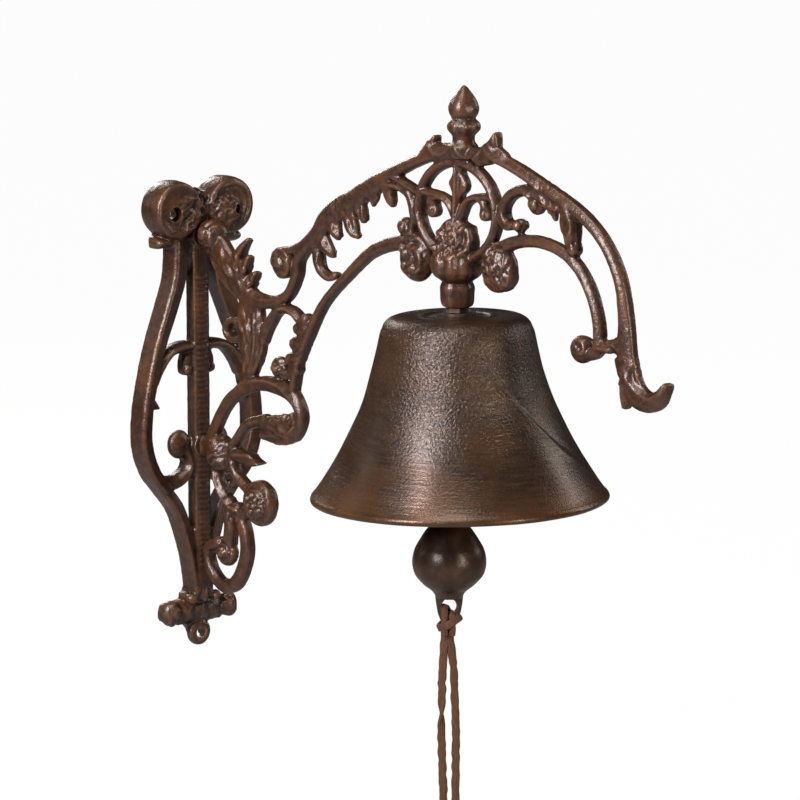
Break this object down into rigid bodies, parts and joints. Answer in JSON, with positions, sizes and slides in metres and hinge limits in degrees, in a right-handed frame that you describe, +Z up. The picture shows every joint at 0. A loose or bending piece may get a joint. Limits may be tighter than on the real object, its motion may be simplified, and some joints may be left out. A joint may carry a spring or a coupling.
{
  "type": "wall mounted bell",
  "caption": "Cast iron bell hung with a clapper and leather thong from a scrolled openwork arm on a lyre shaped wall plate, with a finial over the bell",
  "frame": {"origin": "The middle of the flat back of the foot shell, on the wall plane", "axes": "+X points from the wall into the room along the arm, Y runs along the wall, +Z is up"},
  "size_m": [0.41, 0.17, 0.5135],
  "materials": {
    "plate_iron": "dark brown, lightly rusted",
    "arm_iron": "dark brown, lightly rusted",
    "bell_iron": "dark grey brown, pitted and streaked",
    "clapper_iron": "dark brown",
    "fixing_steel": "dulled steel",
    "thong_leather": "worn brown leather"
  },
  "bodies": {
    "bracket": {"wall_plate": "plate_iron", "bracket_arm": "arm_iron", "arm_screw_upper": "fixing_steel", "arm_screw_lower": "fixing_steel", "bell": "bell_iron", "hook_bolt": "fixing_steel", "lock_nut": "fixing_steel", "crown_washer": "fixing_steel", "inside_washer": "fixing_steel", "inside_nut": "fixing_steel"},
    "link": {"clapper_link": "fixing_steel"},
    "clapper": {"clapper": "clapper_iron", "strap_knot": "thong_leather", "strap_leg_left": "thong_leather", "strap_leg_right": "thong_leather"}
  },
  "joints": [
    {"name": "clapper_swing", "type": "hinge", "parent": "bracket", "child": "link", "pos_m": [0.24316, -0.0063, 0.18371], "axis": [0, 1, 0], "range_deg": [-32, 32]},
    {"name": "clapper_cross_swing", "type": "hinge", "parent": "link", "child": "clapper", "pos_m": [0.24316, -0.0063, 0.17371], "axis": [1, 0, 0], "range_deg": [-9, 9]}
  ]
}
